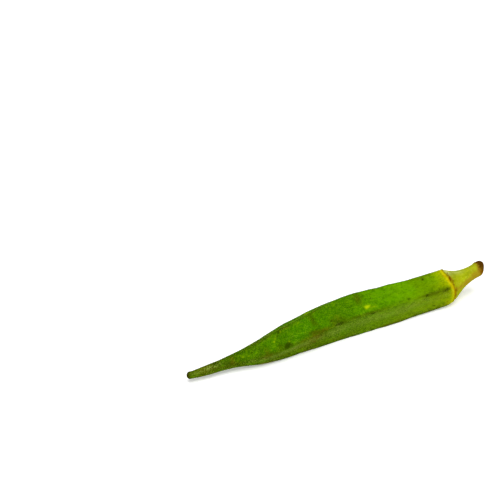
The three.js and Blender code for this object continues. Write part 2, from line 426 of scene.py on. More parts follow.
# Ovals, by the mask they are for: [along, angle, half length, half width, turn, strength].
MARKS = {
    "dark": [
        [-28.8, 31.5, 1.6, 0.95, 22, 1.3], [-27.4, 28, 1.1, 0.6, 0, 0.7], [-57.4, 84, 1.6, 0.55, 0, 1],
        [-7.9, 39.5, 0.7, 0.45, 0, 0.85], [-5.1, 24.5, 1.9, 0.6, 0, 0.95], [10.8, 22, 1.3, 0.45, 0, 0.8],
        [28.2, 30.5, 0.8, 0.5, 0, 0.6], [37.2, 25, 1, 0.6, 0, 0.65], [38.8, 79, 0.7, 0.5, 0, 0.85],
        [27.2, 96, 0.8, 0.5, 0, 0.7], [-29.6, 87, 0.9, 0.6, 20, 0.7], [-30.8, 78, 0.5, 0.5, 0, 0.6],
        [-20.4, 37, 0.6, 0.4, 0, 0.4], [46.4, 60, 0.4, 0.3, 0, 0.5], [-42.8, 60, 0.7, 0.4, 30, 0.4],
        [3.4, 50, 0.5, 0.4, 0, 0.35], [-12.4, 62, 0.5, 0.4, 0, 0.5], [18.4, 58, 0.5, 0.4, 0, 0.35],
        [46.7, 22.5, 1.8, 0.5, 4, 0.62], [36.9, 22.6, 0.6, 0.4, 0, 0.9], [-29.2, 31, 1.1, 0.6, 24, 1.4],
    ],
    # Dark marks of the skin, and painted shade: the wide bands across the top side paint the shade of the
    # seed swellings, and the marks near the top edge paint shade there.
    "smudge_and_shade": [
        [-14.8, 68, 1.5, 4.6, 4, 0.7], [36, 92, 7, 2.2, 0, 0.35], [-8, 38, 2.6, 1.6, 0, 0.35],
        [-3.8, 30, 4.8, 2, 0, 0.7], [-60, 36, 6, 0.8, 0, 0.6], [-53, 44, 3, 0.9, 0, 0.4],
        [-65.5, 104, 3, 0.6, 0, 1], [7.2, 73, 1.8, 3.4, 0, 0.7], [38.8, 84, 2.4, 1.2, 0, 0.35],
        [28, 100, 3.5, 1.4, 0, 0.4], [2, 25.5, 4, 0.6, 0, 0.65], [9, 25, 4, 0.6, 0, 0.75],
        [17, 27, 4, 0.45, 0, 0.4], [25, 30, 4, 0.45, 0, 0.3], [34, 26, 4, 0.45, 0, 0.5],
        [38.8, 23.8, 2.8, 0.75, 0, 1], [41.6, 22.5, 3.6, 0.6, 4, 0.85], [46.8, 22, 2.2, 0.75, 4, 1.1],
        [47.6, 12, 1.4, 1.2, 0, 0.45], [45, 15, 3.2, 0.9, 0, 0.6], [42, 17, 4.5, 0.8, 4, 0.5],
        [-52, 20, 5.5, 1.3, 0, 0.7], [-38, 25, 3.6, 1.2, 0, 0.8], [-32, 20, 4, 1, 0, 0.4],
        [-14.8, 17, 3.6, 2.2, -16, 0.6], [-15.2, 29, 3.8, 1, -14, 1], [-31.6, 34, 2.4, 2, 0, 0.5],
        [33, -44, 2.4, 0.9, 0, 0.6], [-27, 100, 5, 2.4, 0, 0.3], [-12, 96, 5, 1.2, 0, 0.4],
        [16, 96, 6, 1, 0, 0.4], [45, -40, 3.5, 0.9, 0, 0.3],
    ],
    "bruise": [
        [-16.9, 12, 2.6, 2.4, -20, 0.8], [-14.2, 19, 2, 1, 0, 0.6], [-17.4, -4, 1.6, 1.7, 0, 0.75],
        [-22, 24, 2.4, 1.2, 0, 0.3], [-17.4, 31, 3, 0.9, 0, 0.25], [-16.8, -16, 1.8, 0.9, 0, 0.7],
        [-12, 26, 2.4, 0.9, 0, 0.4], [-6.2, 40, 2.2, 1.4, 30, 0.5], [7, 74, 2, 2.4, 0, 0.25],
        [6.4, 78, 0.7, 0.7, 0, 0.35], [8.2, 70, 0.6, 0.9, 0, 0.25], [-50.6, 60, 0.9, 2, 0, 0.5],
        [-50.8, 44, 1, 1, 0, 0.6], [-61, -36, 6, 0.6, 0, 0.9], [-37, 45, 1.2, 1.2, 0, 0.5],
        [-37.2, 16, 1.4, 1.6, 0, 0.55], [-27, 96, 4.4, 2, 0, 0.25], [28, 36, 1.2, 1, 0, 0.3],
        [44, -8, 4, 0.9, 6, 0.3], [-30, -20, 5, 0.8, 0, 0.4], [-4, -40, 9, 0.7, 0, 0.4],
        [49.2, 3, 0.7, 1.1, 0, 0.75],
    ],
    # The first two are a yellow blemish; the small flecks after them are painted glints of the hairs.
    "pale": [
        [9.6, 42, 1.3, 0.75, 8, 1], [12, 37.5, 1.4, 0.5, 10, 0.35], [-44.3, 48, 0.45, 0.35, 0, 0.36],
        [-46.3, 51, 0.5, 0.4, 0, 0.35], [-32.1, 74, 0.5, 0.3, 50, 0.34], [-28.9, 84, 0.5, 0.3, 40, 0.32],
        [-26.4, 73, 0.5, 0.3, 60, 0.36], [-19.9, 44, 0.4, 0.3, 0, 0.4], [-20.7, 84, 0.4, 0.3, 0, 0.4],
        [24.5, 57, 0.5, 0.4, 0, 0.3], [-27.4, 41, 0.4, 0.3, 0, 0.4], [-33, 64, 0.5, 0.3, 30, 0.26],
    ],
    # Painted highlights along the top of the beak.
    "painted_beak_highlight": [[-64.9, 56, 3, 0.45, 0, 1], [-60, 62, 3.8, 0.7, 0, 1.8]],
    "gold": [[48.4, -36, 1.5, 2.6, 0, 1], [48.2, 72, 1.6, 2.8, 0, 0.8], [47.4, 44, 1.6, 2.4, 0, 0.5]],
    "tan": [
        [54.6, 2, 2.4, 1.2, 0, 0.7], [58.4, -6, 3.2, 1.5, 0, 0.95], [62.6, -2, 3, 2.1, 0, 1],
        [65, 10, 1.8, 2.1, 0, 0.9], [52.4, 10, 0.9, 1.2, 0, 0.6], [62, 200, 3, 1.6, 0, 0.7],
        [57.5, 265, 2.4, 1.4, 0, 0.5],
    ],
    # Where the calyx tore off, along the stalk side of the scar.
    "torn": [
        [50.7, 50, 0.6, 1.5, -18, 1.1], [51.3, 36, 0.5, 0.9, -10, 0.55], [50.2, 64, 0.4, 1, 0, 0.6],
        [51.7, 6, 0.7, 1.6, 0, 0.6], [51.2, -14, 0.6, 1, 0, 0.5], [49.9, 94, 0.4, 0.8, 0, 0.6],
        [50.9, 172, 0.5, 2.2, 0, 0.9], [51, 226, 0.5, 1.6, 0, 0.8], [50.9, 262, 0.5, 1.3, 0, 0.7],
        [51, 318, 0.5, 1.5, 0, 0.7],
    ],
    # Painted sheen along the top of the cap, from the scar.
    "painted_cap_sheen": [[51.5, 87, 1.9, 2.2, 0, 1], [55.5, 84, 3.2, 1.3, 0, 0.45]],
}
# Marks placed at random on the sides turned away, or on their ridges:
# [count, half length, half width, strength, seed, on the ridges].
SEEDED_MARKS = {
    "dark": [[26, 0.8, 0.45, 1, 51, False], [16, 2.2, 0.4, 0.9, 52, True]],
    "smudge_and_shade": [[14, 1.4, 3, 0.8, 56, False], [10, 3.4, 0.7, 0.8, 58, True]],
    "bruise": [[12, 2.4, 1.1, 0.8, 53, True], [10, 1.2, 0.9, 0.6, 54, False]],
    "pale": [[7, 1, 0.7, 0.6, 86, False]],
}
HIDDEN_ALONG, HIDDEN_ANGLES, HIDDEN_RIDGES = (-48, 47), (112, 330), [163.0, 234.0, 306.0]
# Each ridge's scuffed dark line and its strength. Along the bottom and top ridges, which lie on the outline,
# the line is also painted shade.
RIDGE_WEAR_AND_SHADE = np.array([0.5, 0.8, 0.35, 0.55, 0.6])  # how worn and dark each ridge is
# By side: how strong its waxy grey film and painted sheen are, and how far it takes the duller colours of
# the lower sides.
BLOOM_AND_SHEEN_BY_SIDE = np.array([0.35, 1.0, 0.0, 0.0, 0.35])
LOWER_BY_SIDE = np.array([1.0, 1.0, 0.0, 0.0, 0.5])
# Where the bands of painted shade lie: along the bottom ridge, the top outline and the front ridge.
BOTTOM_RIDGE, FRONT_RIDGE, TOP_EDGE = -54, 20.5, 114
# Bands along the pod, [starts, is full, fades, ends], and where marks start and end on the body.
WEAR_AND_SHADE_BAND, BLOOM_AND_SHEEN_BAND, FRONT_BAND = [-52, -38, 48.5, 50], [-46, -34, 30, 48], [-14, -6, 12, 30]
BODY_STARTS, BODY_ENDS = (-69, -66), (50, 48.5)
# Bells round the pod: [height, angle, width in degrees]. The scar's colours drift towards the tip
# over the top, at its ridge and low down.
RING_DRIFT = [[0.95, 72, 42], [0.4, -28, 28], [0.6, 88, 16]]
# The last bells carry the bottom ridge's dark line along the whole body, as painted shade on the outline.
RING_TOP, RING_FOOT, RING_BARE, BOTTOM_LINE_SHADE = [[1, 78, 42]], [[1, -35, 26]], [[0.55, -20, 50]], [[1, -54, 20]]
SCORCHED, CHARRED = [[0.5, 4, 30], [0.4, 98, 14]], [[0.75, 75, 60]]
CRUST_DRIFT, CHAR_DRIFT = [[0.5, 22, 40]], [[0.9, 98, 34], [0.7, 40, 26]]


def seeded_marks(count, half_length, half_width, strength, seed, on_ridges):
    """Marks for the sides turned away, placed and sized at random from a seed."""
    rng = np.random.default_rng(seed)
    along = rng.uniform(*HIDDEN_ALONG, count)
    angle = rng.uniform(*HIDDEN_ANGLES, count)
    if on_ridges:
        angle = rng.choice(HIDDEN_RIDGES, count) + rng.normal(0, 3, count)
    size = rng.uniform(0.6, 1.5, (2, count))
    turn = rng.uniform(-25, 25, count)
    power = strength * rng.uniform(0.5, 1, count)
    return np.stack([along, angle, half_length * size[0], half_width * size[1], turn, power], -1).tolist()


def marked(x, angle, name):
    """How strongly the marks of one name cover each point.

    It is the largest of their bells, which fall off with the distance along and round the skin,
    each turned by its own angle.
    """
    marks = MARKS[name] + [mark for kind in SEEDED_MARKS.get(name, []) for mark in seeded_marks(*kind)]
    cover = np.zeros(np.broadcast(x, angle).shape)
    for along, centre, half_length, half_width, turn, strength in marks:
        across = round_from(x, angle, centre)
        c, s = math.cos(math.radians(turn)), math.sin(math.radians(turn))
        p, q = (x - along) * c + across * s, across * c - (x - along) * s
        cover = np.maximum(cover, strength * bump(p, 0, half_length) * bump(q, 0, half_width))
    return cover


def share_by_side(by_side, side, across):
    """A value for each of the five sides, blended into the next over the end fifths of its width."""
    own, before, after = by_side[side], by_side[side - 1], by_side[(side + 1) % 5]
    return own + (before - own) * 0.5 * rise(across, 0.2, 0) + (after - own) * 0.5 * rise(across, 0.8, 1)


def edge_shade(x, angle):
    """Thin bands of painted shade along the bottom ridge, the far edge of the top and part of the front
    ridge.
    """
    bottom = stripe(x, angle, BOTTOM_RIDGE, 1.55)
    top = stripe(x, angle, TOP_EDGE, 1.4) * rise(x, -48, -38) * (1 - 0.9 * bump(x, -22, 10))
    front = 0.65 * stripe(x, angle, FRONT_RIDGE, 0.9) * between(x, FRONT_BAND)
    return np.maximum.reduce([bottom, top, front])


def ring_masks(x, angle):
    """The scar and what lies beside it: a yellow ring, a scorched line, and a halo in the green.

    All follow the ring's drift. The halo reaches furthest over the top.
    """
    top, foot, drift = (swells(angle, bells) for bells in (RING_TOP, RING_FOOT, RING_DRIFT))
    halo_end = SCAR - 0.6 - drift
    reach = 1.8 + 4.0 * top + 2.2 * foot
    halo = rise(x, halo_end - reach, halo_end) * rise(x, SCAR + 0.8, SCAR + 0.2)
    scorch = bump(x, CREASE_PLACE - drift, 0.5 - 0.16 * top)
    return {
        "halo": halo * (1 - 0.45 * foot),
        "scar": bump(x, SCAR - 0.35 - drift, 0.75) * (1 - swells(angle, RING_BARE)),
        "scorch": scorch * (0.45 + swells(angle, SCORCHED)),
    }


def end_masks(x, angle, core):
    """The dry crust below the cut, its charred edge, and each point's share of the cut's radius."""
    crust_place = x + 0.4 * np.cos(np.radians(angle - 100)) + swells(angle, CRUST_DRIFT)
    char = rise(x + swells(angle, CHAR_DRIFT), 65.2, 67.0)
    return {
        "crust": rise(crust_place, DRY_START, DRY_END),
        "char": char * (0.25 + swells(angle, CHARRED)),
        "core": np.where(core < 1, np.broadcast_to(core, x.shape), 1),
    }


def skin_masks(x, angle, core, place):
    """Every mask that the skin's materials read, at each vertex of the skin's grid."""
    side, across = side_of(angle)
    # Painted shade along the bottom ridge, where it is the outline, over the whole body.
    bottom_line_shade = swells(angle, BOTTOM_LINE_SHADE) * rise(x, *BODY_STARTS)
    wear_and_shade = RIDGE_WEAR_AND_SHADE[side] * (1 - across) + RIDGE_WEAR_AND_SHADE[(side + 1) % 5] * across
    patchy = np.clip(0.75 + ripples(place, "wear_and_shade"), 0.2, 1)
    # A waxy grey film beside the ridges, which is mostly painted sheen.
    bloom_and_sheen = BLOOM_AND_SHEEN_BY_SIDE[side] * bump(across, 0.7, 0.22) * between(x, BLOOM_AND_SHEEN_BAND)
    thinner = 1 - 0.28 * rise(x, -16, 2) - 0.4 * bump(x, -12.5, 3.4)
    masks = {name: marked(x, angle, name) for name in MARKS}
    masks.update(ring_masks(x, angle), **end_masks(x, angle, core))
    # The painted highlights on the beak are laid with the grey film and its painted sheen.
    masks["bloom_and_sheen"] = np.maximum(bloom_and_sheen * thinner, masks.pop("painted_beak_highlight"))
    masks["gap"] = ridge_gap(x, angle) * (1 - 0.5 * bottom_line_shade)
    # Scuffed dark ridge lines, which on the bottom and top ridges are also painted shade along the outline.
    wear_and_shade_span = np.maximum(between(x, WEAR_AND_SHADE_BAND), bottom_line_shade * rise(x, *BODY_ENDS))
    masks["wear_and_shade"] = wear_and_shade * wear_and_shade_span * patchy
    masks["lower"] = share_by_side(LOWER_BY_SIDE, side, across) * rise(x, *BODY_STARTS)
    # Painted shade along the outline and part of the front ridge.
    masks["edge"] = edge_shade(x, angle)
    return masks


def write_skin_masks(piece, x, angle, core, place):
    """Writes the masks and the straightened places on the skin, with values of their own at the poles."""
    x, angle = np.broadcast_arrays(x, angle)
    for name, values in skin_masks(x, angle, core, place).items():
        middle = 0 if name == "core" else values[-1].mean()
        write_mask(piece, name, np.append(values, [values[0].mean(), middle]))
    poles = [[TIP, 0, 0], [CUT, 0, 0]]
    write_mask(piece, "straight", np.concatenate([place.reshape(-1, 3), poles]), "FLOAT_VECTOR", "vector")


def write_tube_map(piece, sections, around, run):
    """A map of the skin as an unrolled tube.

    It is the distance along the tube by the share of the way round, with each fan's point above
    its own edge.
    """
    v = (run / run[-1])[1:-1]
    row = np.repeat(np.arange(sections - 1), around)
    i = np.arange(around) / around
    j, middle = i + 1 / around, i + 0.5 / around
    left, right = (np.tile(edge, sections - 1) for edge in (i, j))

    def faces(*corners):
        """The map places of a row of faces, from those of their corners in turn."""
        return np.stack([np.stack(np.broadcast_arrays(*c), -1) for c in corners], 1).reshape(-1, 2)

    uv = np.concatenate([
        faces((left, v[row]), (left, v[row + 1]), (right, v[row + 1]), (right, v[row])),
        faces((middle, 0.0), (i, v[0]), (j, v[0])),
        faces((middle, 1.0), (j, v[-1]), (i, v[-1])),
    ])
    layer = piece.data.uv_layers.new(name="OFBake")
    layer.data.foreach_set("uv", (MAP_MARGIN + (1 - 2 * MAP_MARGIN) * uv).astype(np.float32).ravel())


def pod_skin(offset):
    """The whole skin as one closed mesh, with its masks, its map and its three materials' faces."""
    x, shrink, core = skin_stations()
    angle = skin_angles()
    lift, sink = relief(x, angle, shrink, core)
    points, _ = pod_points(x, angle, shrink, lift, sink)
    tip = points[0].mean(0) + [TIP_INSET, 0, 0]
    middle = points[-1].mean(0)
    grid = np.concatenate([points.reshape(-1, 3), [tip, middle]]) + offset
    sections, around = points.shape[:2]
    quads, fans = tube_faces(sections, around)
    piece = make_mesh("pod_skin", grid * MM, quads, fans)
    write_skin_masks(piece, x, angle, core, straightened(x, angle, shrink))
    steps = np.linalg.norm(np.diff(points, axis=0), axis=-1).mean(1)
    to_tip, to_middle = radius_at(np.array(NOSE)) * 0.25, 0.1
    write_tube_map(piece, sections, around, np.cumsum([0, to_tip, *steps, to_middle]))
    section = np.repeat(np.arange(sections - 1), around)
    end_of_green = GREEN_ENDS - np.tile(swells(angle, RING_DRIFT)[0], sections - 1)
    green, cut = x[section, 0] < end_of_green, core[section + 1, 0] < BARE_SHARE
    kinds = np.concatenate([np.where(green, 0, np.where(cut, 2, 1)), np.zeros(around), np.full(around, 2)])
    piece.data.polygons.foreach_set("material_index", kinds.astype(np.int32))
    return piece


def solid_box():
    """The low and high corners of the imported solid."""
    return [np.array(corner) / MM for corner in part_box("okra_pod")]


def box_offset():
    """How far the solid's line moves, so that the plain skin has its middle where the solid has."""
    x, shrink, _ = skin_stations()
    plain = pod_points(x, skin_angles(), shrink)[0].reshape(-1, 3)
    low, high = solid_box()
    offset = (low + high) / 2 - (plain.min(0) + plain.max(0)) / 2
    offset[2] = low[2]
    return offset


# ---- Fuzz ----

HAIR_COUNT, HAIR_SEED, HAIR_ENDS, THICKEST = 26000, 61, (-68, 65), 9
HAIR_LENGTHS, HAIR_WIDTHS, HAIR_ROOT = (0.2, 0.62), (0.012, 0.024), 0.04
HAIR_LEAN, HAIR_SPREAD = [-1.3, 0, -0.6], 0.5
PAST_BOX_LOW, PAST_BOX_HIGH, OVER_FLOOR = 0.12, 0.16, 0.1


def hairs_at(roots, outwards, length, width, lean, rng):
    """Three-sided pointed hairs, as the corners of a small triangle sunk in the skin and a point.

    The point stands at a length from the root, along the outward direction plus a lean.
    """
    way = outwards + lean
    way /= np.linalg.norm(way, axis=-1, keepdims=True)
    side = np.cross(way, rng.normal(size=way.shape))
    side /= np.linalg.norm(side, axis=-1, keepdims=True)
    other = np.cross(way, side)
    turns = np.radians([0, 120, 240])
    ring = side[:, None] * np.cos(turns)[:, None] + other[:, None] * np.sin(turns)[:, None]
    foot = roots - outwards * HAIR_ROOT
    base = foot[:, None] + ring * width[:, None, None]
    point = roots + way * length[:, None]
    return np.concatenate([base, point[:, None]], 1)


def pod_fuzz(offset):
    """Short pale hairs, thickest beside the ridges and thin on the cap and stalk, of four faces each.

    Those that would reach past the solid's box, or to the floor, are left out.
    """
    rng = np.random.default_rng(HAIR_SEED)
    x = rng.uniform(*HAIR_ENDS, 3 * HAIR_COUNT)
    angle = rng.uniform(0, 360, x.size)
    side, across = side_of(angle)
    beside = np.maximum(bump(ridge_gap(x, angle), 0, 1.4), BLOOM_AND_SHEEN_BY_SIDE[side] * bump(across, 0.8, 0.18))
    share = ridge_radius(x) / THICKEST * (0.4 + 0.8 * beside) * np.where(x > SCAR, 0.4, 1)
    kept = rng.random(x.size) < share
    x, angle = x[kept][:HAIR_COUNT], angle[kept][:HAIR_COUNT]
    lift, _ = relief(x, angle, np.zeros_like(x), np.ones_like(x))
    roots, outwards = pod_points(x, angle, 0.0, lift)
    length, width = rng.uniform(*HAIR_LENGTHS, x.size), rng.uniform(*HAIR_WIDTHS, x.size)
    lean = rng.normal(0, HAIR_SPREAD, (x.size, 3)) + np.array(HAIR_LEAN)
    hairs = hairs_at(roots, outwards, length, width, lean, rng)
    tips = hairs[:, 3] + offset
    low, high = solid_box()
    inside = ((tips > low - PAST_BOX_LOW) & (tips < high + PAST_BOX_HIGH)).all(1)
    hairs = hairs[inside & (hairs[..., 2].min(1) > OVER_FLOOR)]
    first = np.arange(len(hairs))[:, None] * 4
    faces = np.array([[0, 2, 1], [0, 1, 3], [1, 2, 3], [2, 0, 3]])
    triangles = (first[:, :, None] + faces).reshape(-1, 3)
    points = (hairs.reshape(-1, 3) + offset) * MM
    return make_mesh("pod_fuzz", points, np.zeros((0, 4), int), triangles, False)


# ---- Dry shreds of the calyx ----

SHRED_HALF_THICKNESS, SHRED_CLEARANCE, SHRED_WAVER = 0.07, 0.05, 0.06
# [angle, along from the scar, length, width, how far it curls up, turn]
SHREDS = [
    [60, 0.85, 2.4, 0.42, 0.18, -16], [44, 1.25, 2.0, 0.4, 0.12, -16], [74, 0.8, 1.3, 0.3, 0.22, 14],
    [28, 0.9, 1.1, 0.28, 0.1, -16], [108, 0.8, 1.7, 0.34, 0.3, 5], [137, 0.85, 1.2, 0.3, 0.15, -9],
    [171, 0.8, 2.1, 0.4, 0.25, 8], [198, 0.85, 1.4, 0.34, 0.12, -5], [226, 0.8, 2.3, 0.42, 0.2, 4],
    [259, 0.85, 1.5, 0.3, 0.1, 12], [288, 0.8, 1.9, 0.38, 0.1, -7], [318, 0.85, 1.3, 0.3, 0.1, 9],
    [350, 0.85, 1.2, 0.28, 0.12, 3],
]


def shred_points(angle, from_scar, length, width, curl, turn, steps=13, around=8):
    """One shred: a flat strip with pointed ends that lies round the pod in the groove.

    Its width swells as a sine from end to end, its section is an oval, and one end curls up by a
    square law.
    """
    s = np.linspace(0, 1, steps)[1:-1, None]
    t = np.linspace(0, 2 * np.pi, around, endpoint=False)[None]
    swell = np.sin(np.pi * s) ** 0.8
    across = 0.5 * width * swell * np.cos(t)
    thick = SHRED_HALF_THICKNESS * swell * np.sin(t)
    reach = (s - 0.5) * length
    c, n = math.cos(math.radians(turn)), math.sin(math.radians(turn))
    x = SCAR + from_scar + across * c + reach * n + SHRED_WAVER * np.sin(9 * s)
    degrees = angle + np.degrees((reach * c - across * n) / ridge_radius(SCAR + from_scar))
    x, degrees = np.broadcast_arrays(x, degrees)
    place = straightened(x, degrees)
    lift = scar_relief(x, place) + body_relief(x, degrees, place)
    return pod_points(x, degrees, 0.0, lift + SHRED_CLEARANCE + thick + curl * s ** 2)[0]


def calyx_shreds(offset):
    """All the shreds as one piece: closed strips with a fan at each end."""
    points, quads, fans, base = [], [], [], 0
    for shred in SHREDS:
        grid = shred_points(*shred)
        sections, around = grid.shape[:2]
        ends = [grid[a].mean(0) * 1.5 - grid[b].mean(0) * 0.5 for a, b in ((0, 1), (-1, -2))]
        points.append(np.concatenate([grid.reshape(-1, 3), ends]))
        strip_quads, strip_fans = tube_faces(sections, around)
        quads.append(strip_quads + base)
        fans.append(strip_fans + base)
        base += len(points[-1])
    points = (np.concatenate(points) + offset) * MM
    return make_mesh("calyx_shreds", points, np.concatenate(quads), np.concatenate(fans))


# ---- Nodes ----


def shade(red, green, blue):
    """A colour as a node takes it: each display value over 255, to the power 2.2."""
    return tuple((v / 255) ** 2.2 for v in (red, green, blue)) + (1.0,)


class Nodes:
    """Adds the nodes of one material or group."""

    def __init__(self, tree):
        self.tree = tree

    def fill(self, socket, value):
        """Links an input to a socket, or sets its value."""
        if isinstance(value, bpy.types.NodeSocket):
            self.tree.links.new(value, socket)
        else:
            socket.default_value = value

    def add(self, kind, inputs=None, **settings):
        """Adds a node, applies its settings and fills its inputs."""
        node = self.tree.nodes.new(kind)
        for name, value in settings.items():
            setattr(node, name, value)
        for key, value in (inputs or {}).items():
            self.fill(node.inputs[key], value)
        return node

    def calc(self, operation, *values):
        """The result of one sum."""
        return self.add("ShaderNodeMath", dict(enumerate(values)), operation=operation).outputs[0]

    def times(self, a, b):
        """One value times another."""
        return self.calc("MULTIPLY", a, b)

    def remap(self, value, low, high, new_low=0.0, new_high=1.0, kind="SMOOTHSTEP"):
        """Maps low to high on to new_low to new_high, held at both ends."""
        inputs = {"Value": value, 1: low, 2: high, 3: new_low, 4: new_high}
        return self.add("ShaderNodeMapRange", inputs, interpolation_type=kind).outputs[0]

    def noise(self, place, scale, detail, roughness=0.5):
        """Fractal noise of about 0 to 1."""
        inputs = {"Vector": place, "Scale": scale, "Detail": detail, "Roughness": roughness}
        return self.add("ShaderNodeTexNoise", inputs).outputs[0]

    def divided(self, place, along, across):
        """A place over one size along the pod and another across it."""
        size = self.add("ShaderNodeCombineXYZ", {0: along, 1: across, 2: across}).outputs[0]
        return self.add("ShaderNodeVectorMath", {0: place, 1: size}, operation="DIVIDE").outputs[0]


class Material(Nodes):
    """One dull material, whose colour is laid up in layers over a first one."""

    def __init__(self, name, roughness):
        self.material = bpy.data.materials.new(name)
        self.material.use_nodes = True
        super().__init__(self.material.node_tree)
        self.shader = self.tree.nodes["Principled BSDF"]
        self.colour = None
        self.set(("Roughness", roughness), ("Specular IOR Level", 0.0), ("Metallic", 0.0))

    def set(self, *values):
        """Fills inputs of the shader, given as pairs of name and value."""
        for name, value in values:
            self.fill(self.shader.inputs[name], value)

    def mask(self, name, output="Fac"):
        """Reads what the piece stores at each vertex under a name."""
        kind = {"attribute_name": name, "attribute_type": "GEOMETRY"}
        return self.add("ShaderNodeAttribute", **kind).outputs[output]

    def along(self):
        """How far along the pod a point is."""
        return self.add("ShaderNodeSeparateXYZ", {0: self.mask("straight", "Vector")}).outputs[0]

    def object_place(self):
        """The place on the piece, in metres."""
        return self.add("ShaderNodeTexCoord").outputs["Object"]

    def run(self, group, **inputs):
        """Places a group on the straightened place, fills its other inputs and gives its output."""
        node = self.add("ShaderNodeGroup", node_tree=group)
        for name, value in {"place": self.mask("straight", "Vector"), **inputs}.items():
            self.fill(node.inputs[name.capitalize()], value)
        return node.outputs[0]

    def ramp(self, value, stops):
        """A colour that changes smoothly with a value, through [value, colour] stops."""
        node = self.add("ShaderNodeValToRGB", {0: value})
        line = node.color_ramp
        line.interpolation = "EASE"
        while len(line.elements) < len(stops):
            line.elements.new(0.5)
        for element, (position, _) in zip(line.elements, stops):
            element.position = position
        for element, (_, colour) in zip(line.elements, stops):
            element.color = colour
        return node.outputs["Color"]

    def blend(self, cover, under, over):
        """Lays one colour over another by a cover of 0 to 1."""
        return self.add("ShaderNodeMix", {0: cover, 6: under, 7: over}, data_type="RGBA").outputs[2]

    def lay(self, colour, cover, strength=None):
        """Lays a colour over what is there, by a cover of 0 to 1 and, where given, a strength."""
        cover = cover if strength is None else self.times(cover, strength)
        self.colour = self.blend(cover, self.colour, colour)

    def lay_all(self, layers):
        """Lays colours over what is there, each where its pattern goes from none to full."""
        for colour, pattern, none, full, strength in layers:
            self.lay(colour, self.remap(pattern, none, full, 0.0, strength))

    def stain(self, name, colour, size, softness, strength):
        """Lays a colour over the ragged patches of a mask, and gives the patches back."""
        patches = self.run(ragged, mark=self.mask(name), size=size, softness=softness)
        self.lay(colour, patches, strength)
        return patches

    def finish(self, roughness=None, relief_height=None, depth=0.0):
        """Links the colour and, where given, the roughness and a bump of a depth in millimetres."""
        self.set(("Base Color", self.colour))
        if relief_height is not None:
            inputs = {"Height": relief_height, "Strength": 1.0, "Distance": depth * MM}
            self.set(("Roughness", roughness), ("Normal", self.add("ShaderNodeBump", inputs).outputs[0]))
        return self.material


# ---- Shared effects, each a group that works on a place ----

RAGGED_MIDDLE = 0.42


def start_group(name, output, **defaults):
    """A group with a Place and numbers by name: its nodes, what it is given, and its output."""
    tree = bpy.data.node_groups.new(name, "ShaderNodeTree")
    tree.interface.new_socket("Place", in_out="INPUT", socket_type="NodeSocketVector")
    for label, default in defaults.items():
        socket = tree.interface.new_socket(label, in_out="INPUT", socket_type="NodeSocketFloat")
        socket.default_value = default
    tree.interface.new_socket(output, in_out="OUTPUT", socket_type="NodeSocketFloat")
    nodes = Nodes(tree)
    return nodes, nodes.add("NodeGroupInput").outputs, nodes.add("NodeGroupOutput")


def mottling_group():
    """Cloudy patches of 0 to 1, drawn out along the pod.

    They are fractal noise on the place over the patch size, and over the stretch as well along
    the pod. More contrast narrows the range that is spread over 0 to 1.
    """
    n, given, out = start_group("mottling", "Patches", Size=5.0, Stretch=2.0, Contrast=0.5)
    length = n.times(given["Size"], given["Stretch"])
    noise = n.noise(n.divided(given["Place"], length, given["Size"]), 1.0, 5.0, 0.6)
    low = n.calc("MULTIPLY_ADD", given["Contrast"], 0.2, 0.22)
    high = n.calc("MULTIPLY_ADD", given["Contrast"], -0.2, 0.78)
    n.fill(out.inputs[0], n.remap(noise, low, high, kind="LINEAR"))
    return n.tree


def freckle_group():
    """Round specks of 0 to 1.

    They are the distance to the nearest point of a scattered lattice, against a radius that
    differs from cell to cell. A cell whose own random number is over the amount has none.
    """
    n, given, out = start_group("freckles", "Specks", Spacing=2.0, Radius=0.3, Amount=0.5)
    lattice = {"Vector": given["Place"], "Scale": n.calc("DIVIDE", 1.0, given["Spacing"])}
    cells = n.add("ShaderNodeTexVoronoi", lattice)
    drawn = n.add("ShaderNodeSeparateColor", {0: cells.outputs["Color"]}).outputs
    radius = n.times(given["Radius"], n.calc("MULTIPLY_ADD", drawn[1], 0.8, 0.4))
    away = n.times(cells.outputs["Distance"], given["Spacing"])
    speck = n.remap(n.calc("DIVIDE", away, radius), 1.0, 0.35)
    n.fill(out.inputs[0], n.times(speck, n.calc("LESS_THAN", drawn[0], given["Amount"])))
    return n.tree


def grain_group():
    """Fine lengthwise fibres of 0 to 1: noise that is long along the pod and narrow round it."""
    n, given, out = start_group("long_grain", "Fibres", Width=0.4, Length=9.0)
    noise = n.noise(n.divided(given["Place"], given["Length"], given["Width"]), 1.0, 3.0)
    n.fill(out.inputs[0], n.remap(noise, 0.32, 0.68, kind="LINEAR"))
    return n.tree


def ragged_group():
    """Breaks the soft edge of a mark into small patches: the mark plus noise, cut off about a middle."""
    n, given, out = start_group("ragged_edge", "Cover", Mark=0.0, Size=0.6, Softness=0.25)
    noise = n.noise(given["Place"], n.calc("DIVIDE", 1.0, given["Size"]), 3.0, 0.65)
    on_mark = n.calc("GREATER_THAN", given["Mark"], 0.02)
    swing = n.times(n.calc("MULTIPLY_ADD", noise, 0.9, -0.45), on_mark)
    low = n.calc("SUBTRACT", RAGGED_MIDDLE, given["Softness"])
    high = n.calc("ADD", RAGGED_MIDDLE, given["Softness"])
    n.fill(out.inputs[0], n.remap(n.calc("ADD", given["Mark"], swing), low, high))
    return n.tree


mottling, freckles, long_grain, ragged = mottling_group(), freckle_group(), grain_group(), ragged_group()

# ---- Materials ----

